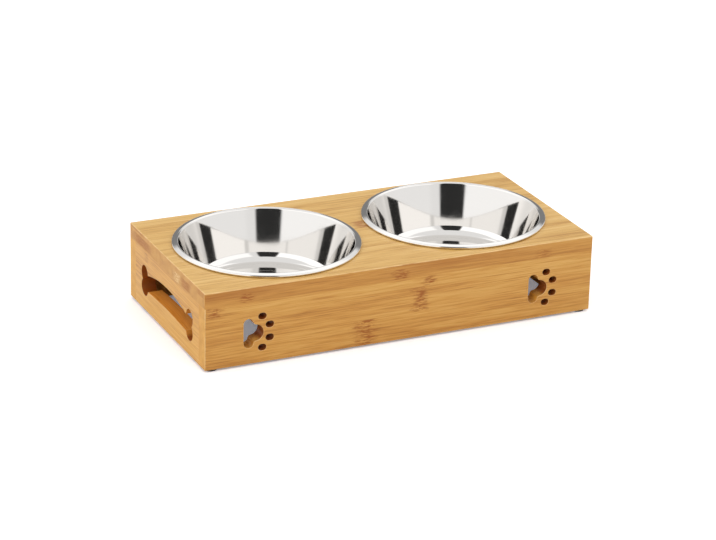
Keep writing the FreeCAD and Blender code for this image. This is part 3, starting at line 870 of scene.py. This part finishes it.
def dress_node(node: str, material: bpy.types.Material) -> None:
    """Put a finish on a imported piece.

    Args:
        node: the piece's name.
        material: its finish.
    """
    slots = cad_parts[node].material_slots
    if not slots:
        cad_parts[node].data.materials.append(material)
    for slot in slots:
        slot.material = material
    LOG.info("%s wears %s", node, material.name)


def end_panel(name: str, seed: float, knuckle: Mark) -> BambooFinish:
    """Choose the strips and marks of a panel at one end, with a grip hole in it.

    Args:
        name: the finish's name.
        seed: the start of its pattern.
        knuckle: its one knuckle.

    Returns:
        The finish.
    """
    return BambooFinish(
        name,
        GrainWay.CROSS_UPRIGHT,
        seed=seed,
        knuckles=(knuckle,),
        cut_places=(-61.0, 61.0),
        # These tones paint light onto the walls of the grip hole.
        tones=LIT_HOLE_WALL,
        face_tones=WARM_END,
        end_tones=LIT_HOLE_WALL,
    )


@dataclass(frozen=True)
class BambooBox:
    """The five bamboo boards of the stand, each by its packed name, with its strips and marks."""

    top_board: BambooFinish = BambooFinish(
        "bamboo_top",
        GrainWay.LONG_FLAT,
        seed=1.0,
        knuckles=(Mark(4.0, 12.0, 17.0, 18.0, 0.8, 1.3, 0.5),),
        edge_marks=(
            Mark(-159.0, 68.5, 17.0, 9.0, 0.9),
            Mark(-3.5, 68.5, 19.0, 10.0, 0.85),
            Mark(146.0, 68.0, 20.0, 9.0, 0.6),
            Mark(-165.0, 74.0, 130.0, 8.0, 0.3, 0.3, 0.0),
            Mark(55.0, 74.0, 190.0, 7.0, 0.26, 0.3, 0.0),
        ),
        end_marks=(
            Mark(64.5, 69.0, 56.0, 9.0, 0.85, 0.2, 0.4),
            Mark(-50.0, 68.5, 26.0, 9.0, 0.85, 0.2, 0.4),
            Mark(-87.0, 75.0, 22.0, 6.0, 0.45, 0.25, 0.4),
            Mark(80.0, 76.5, 50.0, 2.0, 0.6, 0.2, 0.4),
        ),
        pale_marks=(Mark(-27.0, 68.0, 20.0, 10.0, 0.8, 0.25),),
        strip_width=20.0,
        strip_start=-97.5,
        # The top face's paler tones are partly painted light and sheen.
        face_tones=TOP_FACE_TONE_AND_LIGHT,
        end_tones=Tones(),
    )
    front_panel: BambooFinish = BambooFinish(
        "bamboo_front",
        GrainWay.LONG_UPRIGHT,
        seed=2.0,
        knuckles=(
            Mark(-191.5, 58.0, 17.0, 10.0, 0.85),
            Mark(26.0, 58.0, 16.0, 10.0, 1.0),
            Mark(17.0, 40.5, 19.0, 25.0, 0.9),
            Mark(-40.0, 15.5, 26.0, 25.0, 0.85),
        ),
        cut_places=(-137.0, 157.0),
        drift=0.00053,
    )
    back_panel: BambooFinish = BambooFinish(
        "bamboo_back",
        GrainWay.LONG_UPRIGHT,
        seed=3.0,
        knuckles=(
            Mark(88.0, 58.0, 14.0, 10.0, 0.7),
            Mark(-120.0, 40.5, 17.0, 25.0, 0.7),
            Mark(61.0, 15.5, 20.0, 25.0, 0.75),
        ),
        cut_places=(-157.0, 137.0),
    )
    left_end_panel: BambooFinish = end_panel("bamboo_left_end", 4.0, Mark(52.0, 58.0, 12.0, 10.0, 0.4))
    right_end_panel: BambooFinish = end_panel("bamboo_right_end", 5.0, Mark(-30.0, 58.0, 14.0, 10.0, 0.5))

    def dress(self, effects: SharedEffects) -> None:
        """Give each board its finish."""
        for board in fields(self):
            dress_node(board.name, getattr(self, board.name).material(effects))


@dataclass
class SheetBowl:
    """One bowl pressed from sheet steel, with a rolled rim and a raised centre.

    The section is the inside of the sheet. Its heights count from the top board's upper face.
    """

    node: str
    axis_across: float
    seed: float
    board_top: float = 0.078
    sheet: float = 0.0008
    centre_up: float = -0.0448
    centre_spans: int = 4
    ring_top: float = 0.0399
    ring_round: float = 0.003
    ring_turn: float = math.acos(0.8)
    ring_spans: int = 7
    floor_up: float = -0.046
    floor_edge: float = 0.060379
    floor_spans: int = 2
    floor_round: float = 0.012
    floor_round_spans: int = 26
    taper: float = math.radians(16.5)
    wall_top: Pair = (0.083608, 0.002168)
    wall_spans: int = 6
    bend_round: float = 0.002
    bend_spans: int = 18
    rim_top: float = 0.0036
    rim_slope: float = math.radians(12.9)
    rim_reach: float = 0.09
    seat_gap: float = 0.0002
    curl_return: float = 0.0013
    curl_spans: int = 24
    support: float = 0.0005
    turns: int = 176
    merge: float = 1e-6

    def line(
        self, mesh: bmesh.types.BMesh, start: bmesh.types.BMVert, across: float, up: float, spans: int = 1
    ) -> bmesh.types.BMVert:
        """Draw a straight stretch of the section, with short ends that keep its polish flat.

        Args:
            mesh: the section.
            start: its last point so far.
            across: the end's distance from the axis.
            up: the end's height above the board.
            spans: how many spans the middle has.

        Returns:
            The new last point.
        """
        goal = Vector((across, 0.0, up))
        way = goal - start.co
        short = way.normalized() * min(self.support, way.length / 4.0)
        inner = [start.co + short + (way - 2.0 * short) * (k / spans) for k in range(spans + 1)]
        last = start
        for place in inner + [goal]:
            made = bmesh.ops.extrude_vert_indiv(mesh, verts=[last])
            last = made["verts"][0]
            last.co = place
        return last

    def arc(
        self, mesh: bmesh.types.BMesh, start: bmesh.types.BMVert, centre: Pair, turn: float, spans: int
    ) -> bmesh.types.BMVert:
        """Draw a round stretch of the section.

        Args:
            mesh: the section.
            start: its last point so far.
            centre: the round's centre, across and up.
            turn: its angle, positive from up towards outwards.
            spans: how many spans it has.

        Returns:
            The new last point.
        """
        made = bmesh.ops.spin(
            mesh,
            geom=[start],
            cent=(centre[0], 0.0, centre[1]),
            axis=(0.0, 1.0, 0.0),
            angle=turn,
            steps=spans,
            use_merge=False,
            use_normal_flip=False,
            use_duplicate=False,
        )
        return next(item for item in made["geom_last"] if isinstance(item, bmesh.types.BMVert))

    def section(self, mesh: bmesh.types.BMesh) -> None:
        """Draw the inside of the bowl from its centre to the end of its rolled rim.

        Args:
            mesh: the empty mesh that gets the section.
        """
        last = mesh.verts.new((0.0, 0.0, self.centre_up))
        last = self.line(mesh, last, self.ring_top, self.centre_up, self.centre_spans)
        shoulder = (self.ring_top, self.centre_up - self.ring_round)
        last = self.arc(mesh, last, shoulder, self.ring_turn, self.ring_spans)
        ring_foot = self.ring_top + 2.0 * self.ring_round * math.sin(self.ring_turn)
        hollow = (ring_foot, self.floor_up + self.ring_round)
        last = self.arc(mesh, last, hollow, -self.ring_turn, self.ring_spans)

        last = self.line(mesh, last, self.floor_edge, self.floor_up, self.floor_spans)
        quarter = math.pi / 2.0 - self.taper
        corner = (self.floor_edge, self.floor_up + self.floor_round)
        last = self.arc(mesh, last, corner, -quarter, self.floor_round_spans)
        last = self.line(mesh, last, *self.wall_top, self.wall_spans)

        bend = (self.wall_top[0] + self.bend_round * math.cos(self.taper), self.rim_top - self.bend_round)
        last = self.arc(mesh, last, bend, quarter + self.rim_slope, self.bend_spans)
        fall, level = math.sin(self.rim_slope), math.cos(self.rim_slope)
        room = self.bend_round + (bend[1] - self.seat_gap) * level - (self.rim_reach - bend[0]) * fall
        curl_round = room / (1.0 + level - fall)
        curl = (self.rim_reach - curl_round, self.seat_gap + curl_round)
        last = self.line(mesh, last, curl[0] + curl_round * fall, curl[1] + curl_round * level)
        last = self.arc(mesh, last, curl, math.pi - self.rim_slope, self.curl_spans)
        self.line(mesh, last, curl[0] - self.curl_return, self.seat_gap)

    def build(self) -> bpy.types.Object:
        """Turn the section about the bowl's axis and give the sheet its thickness.

        Returns:
            The bowl, in its place.
        """
        mesh = bmesh.new()
        self.section(mesh)
        bmesh.ops.spin(
            mesh,
            geom=mesh.verts[:] + mesh.edges[:],
            cent=(0.0, 0.0, 0.0),
            axis=(0.0, 0.0, 1.0),
            angle=2.0 * math.pi,
            steps=self.turns,
            use_merge=True,
            use_normal_flip=False,
            use_duplicate=False,
        )
        bmesh.ops.remove_doubles(mesh, verts=mesh.verts[:], dist=self.merge)
        bmesh.ops.recalc_face_normals(mesh, faces=mesh.faces[:])
        # The sheet grows on the far side of its normals, so the inside of the floor faces up first.
        floor = min(mesh.faces, key=lambda face: face.calc_center_median().to_2d().length)
        if floor.normal.z < 0.0:
            bmesh.ops.reverse_faces(mesh, faces=mesh.faces[:])
        bmesh.ops.solidify(mesh, geom=mesh.faces[:], thickness=self.sheet)
        bmesh.ops.translate(mesh, verts=mesh.verts[:], vec=(self.axis_across, 0.0, self.board_top))
        data = bpy.data.meshes.new(f"{self.node}_sheet")
        mesh.to_mesh(data)
        mesh.free()
        data.polygons.foreach_set("use_smooth", [True] * len(data.polygons))
        bowl = bpy.data.objects.new(f"{self.node}_sheet", data)
        bpy.context.scene.collection.objects.link(bowl)
        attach(bowl, self.node)
        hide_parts(self.node)
        LOG.info("%s turned, %d faces", bowl.name, len(data.polygons))
        return bowl

    def dress(self, bowl: bpy.types.Object, effects: SharedEffects) -> None:
        """Polish the bowl."""
        steel = SteelFinish(f"steel_{self.node}", self.axis_across, self.seed)
        bowl.data.materials.append(steel.material(effects))


@dataclass(frozen=True)
class SmallParts:
    """The rubber feet and the hidden dowels."""

    feet: Tuple[str, ...] = ("foot_front_left", "foot_front_right", "foot_back_left", "foot_back_right")
    dowels: Tuple[str, ...] = (
        "top_front_dowels",
        "top_back_dowels",
        "top_left_dowels",
        "top_right_dowels",
        "front_left_corner_dowels",
        "front_right_corner_dowels",
        "back_left_corner_dowels",
        "back_right_corner_dowels",
    )
    rubber: RubberFinish = RubberFinish()
    beech: BambooFinish = BambooFinish(
        "beech_dowel",
        GrainWay.CROSS_UPRIGHT,
        seed=9.0,
        strip_width=50.0,
        strip_start=0.0,
        tones=BEECH,
        face_tones=BEECH,
        end_tones=BEECH,
        rubbing=0.0,
    )

    def dress(self, effects: SharedEffects) -> None:
        """Give the feet rubber and the dowels raw beech.

        Args:
            effects: the shared effects.
        """
        for nodes, finish in ((self.feet, self.rubber), (self.dowels, self.beech)):
            material = finish.material(effects)
            for node in nodes:
                dress_node(node, material)


@dataclass(frozen=True)
class RoomPanel:
    """A bright or dark patch of the room around the stand, in degrees."""

    name: str
    azimuth: float
    half_width: float
    low: float
    high: float
    level: float
    soft: float


@dataclass(frozen=True)
class Studio:
    """The pale floor, the soft light and the camera."""

    azimuth: float = -25.18
    elevation: float = 21.95
    roll: float = 1.42
    distance: float = 2.6076
    target: Triple = (-0.0024, 0.0, 0.036)
    lens: float = 135.75
    sensor: float = 36.0
    floor_half: float = 6.0
    floor_segments: int = 4
    floor_noise: Triple = (3.0, 0.5, 4.0)
    paper_dark: Colour = grey(0.77)
    paper_light: Colour = grey(0.79)
    paper_mirrored: Colour = grey(0.95)
    paper_seen: Colour = grey(1.05)
    glow_tint: Colour = (0.94, 0.98, 1.1)
    glow: float = 0.195
    lamp_size: Pair = (1.5, 1.2)
    lamp_power: float = 7.5
    lamp_way: Triple = (-0.2, -0.8, 1.0)
    lamp_distance: float = 1.9
    room_level: float = 0.9
    panels: Tuple[RoomPanel, ...] = (
        RoomPanel("right_softbox", 50.0, 45.0, -5.0, 54.0, 0.95, 4.0),
        RoomPanel("right_softbox_head", 50.0, 45.0, 20.0, 54.0, 1.25, 4.0),
        RoomPanel("left_softbox", -90.0, 48.0, -5.0, 54.0, 1.1, 4.0),
        RoomPanel("left_softbox_head", -90.0, 48.0, 20.0, 54.0, 1.35, 4.0),
        RoomPanel("gap_at_camera", -25.0, 17.0, -8.0, 60.0, 0.03, 2.0),
        RoomPanel("back_softbox", 155.0, 55.0, 34.0, 62.0, 1.25, 4.0),
        RoomPanel("backdrop_edge", 155.0, 32.0, -2.0, 24.5, 0.24, 2.0),
    )

    def place_camera(self) -> None:
        """Set the camera where the picture was taken from."""
        turn, rise, roll = (math.radians(angle) for angle in (self.azimuth, self.elevation, self.roll))
        back = Vector((math.sin(turn) * math.cos(rise), -math.cos(turn) * math.cos(rise), math.sin(rise)))
        level = Vector((math.cos(turn), math.sin(turn), 0.0))
        upright = back.cross(level)
        right = level * math.cos(roll) + upright * math.sin(roll)
        up = back.cross(right)
        data = bpy.data.cameras.new("camera")
        data.sensor_fit = "HORIZONTAL"
        data.sensor_width = self.sensor
        data.lens = self.lens
        camera = bpy.data.objects.new("camera", data)
        turned = Matrix((right, up, back)).transposed().to_4x4()
        camera.matrix_world = Matrix.Translation(Vector(self.target) + back * self.distance) @ turned
        bpy.context.scene.collection.objects.link(camera)
        bpy.context.scene.camera = camera

    def floor_paper(self) -> bpy.types.Material:
        """Make paper that looks white where it is lit, keeps the shadow and is clear from below.

        Returns:
            The floor's material.
        """
        made, desk = new_material("floor_paper")
        path = desk.add("LightPath")
        mirrored = desk.math("MAXIMUM", path.outputs["Is Glossy Ray"], path.outputs["Is Transmission Ray"])
        seen = path.outputs["Is Camera Ray"]
        cloud = desk.noise(desk.add("TexCoord").outputs["Object"], *self.floor_noise)
        pale = desk.blend(cloud, self.paper_dark, self.paper_light)
        pale = desk.blend(mirrored, pale, self.paper_mirrored)
        paper = desk.add("BsdfDiffuse")
        desk.feed(paper.inputs["Color"], desk.blend(seen, pale, self.paper_seen))
        light = desk.add("Emission")
        light.inputs["Color"].default_value = (*self.glow_tint, 1.0)
        desk.feed(light.inputs["Strength"], desk.times(seen, self.glow))
        both = desk.add("AddShader")
        desk.feed(both.inputs[0], paper.outputs[0])
        desk.feed(both.inputs[1], light.outputs[0])
        sides = desk.add("MixShader")
        desk.feed(sides.inputs[0], desk.add("NewGeometry").outputs["Backfacing"])
        desk.feed(sides.inputs[1], both.outputs[0])
        desk.feed(sides.inputs[2], desk.add("BsdfTransparent").outputs[0])
        desk.show(sides.outputs[0])
        return made

    def lay_floor(self) -> None:
        """Lay the pale floor."""
        mesh = bmesh.new()
        count = self.floor_segments
        bmesh.ops.create_grid(mesh, x_segments=count, y_segments=count, size=self.floor_half)
        data = bpy.data.meshes.new("floor")
        mesh.to_mesh(data)
        mesh.free()
        data.materials.append(self.floor_paper())
        floor = bpy.data.objects.new("floor", data)
        bpy.context.scene.collection.objects.link(floor)

    def hang_room(self) -> None:
        """Surround the stand with a bright room of soft boxes and dark gaps, white to the camera."""
        world = bpy.data.worlds.new("studio")
        bpy.context.scene.world = world
        world.use_nodes = True
        desk = NodeDesk(world.node_tree)
        path = desk.add("LightPath")
        across, along, up = desk.split(desk.add("TexCoord").outputs["Generated"])
        azimuth = desk.math("DEGREES", desk.math("ARCTAN2", across, desk.times(along, -1.0)))
        rise = desk.math("DEGREES", desk.math("ARCSINE", up))
        level: Value = self.room_level
        # Each panel covers what the ones before it left.
        for panel in self.panels:
            turn = desk.math("SUBTRACT", azimuth, panel.azimuth)
            off = desk.math("ABSOLUTE", desk.math("WRAP", turn, HALF_TURN, -HALF_TURN))
            aside = desk.ease(off, panel.half_width + panel.soft, panel.half_width - panel.soft)
            above = desk.ease(rise, panel.low - panel.soft, panel.low + panel.soft)
            below = desk.ease(rise, panel.high + panel.soft, panel.high - panel.soft)
            mask = desk.times(aside, desk.times(above, below))
            level = desk.math("ADD", level, desk.times(mask, desk.math("SUBTRACT", panel.level, level)))
        ground = desk.add("Background")
        clear = desk.times(path.outputs["Is Camera Ray"], desk.rest(level))
        desk.feed(ground.inputs["Strength"], desk.math("ADD", level, clear))
        ground.inputs["Color"].default_value = (*grey(1.0), 1.0)
        desk.show(ground.outputs[0], "OutputWorld")

    def hang_lamp(self) -> None:
        """Hang one soft lamp above the front, which the polished bowls don't mirror."""
        data = bpy.data.lights.new("soft_lamp", "AREA")
        data.shape = "RECTANGLE"
        data.size, data.size_y = self.lamp_size
        data.energy = self.lamp_power
        lamp = bpy.data.objects.new("soft_lamp", data)
        lamp.visible_camera = False
        lamp.visible_glossy = False
        away = Vector(self.lamp_way).normalized()
        turned = away.to_track_quat("Z", "Y").to_matrix().to_4x4()
        lamp.matrix_world = Matrix.Translation(away * self.lamp_distance) @ turned
        bpy.context.scene.collection.objects.link(lamp)

    def build(self) -> None:
        """Set up the whole studio."""
        self.lay_floor()
        self.hang_room()
        self.hang_lamp()
        self.place_camera()
        bpy.context.scene.view_settings.view_transform = "Standard"
        LOG.info("studio set with %s", ", ".join(panel.name for panel in self.panels))


def main() -> None:
    """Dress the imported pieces, turn the bowls and set up the studio."""
    logging.basicConfig(level=logging.INFO, format="%(message)s")
    effects = SharedEffects()
    BambooBox().dress(effects)
    left_bowl = SheetBowl("left_bowl", axis_across=-0.0985, seed=1.0)
    right_bowl = SheetBowl("right_bowl", axis_across=0.0985, seed=2.0)
    for bowl in (left_bowl, right_bowl):
        bowl.dress(bowl.build(), effects)
    SmallParts().dress(effects)
    Studio().build()


if __name__ == "__main__":
    main()
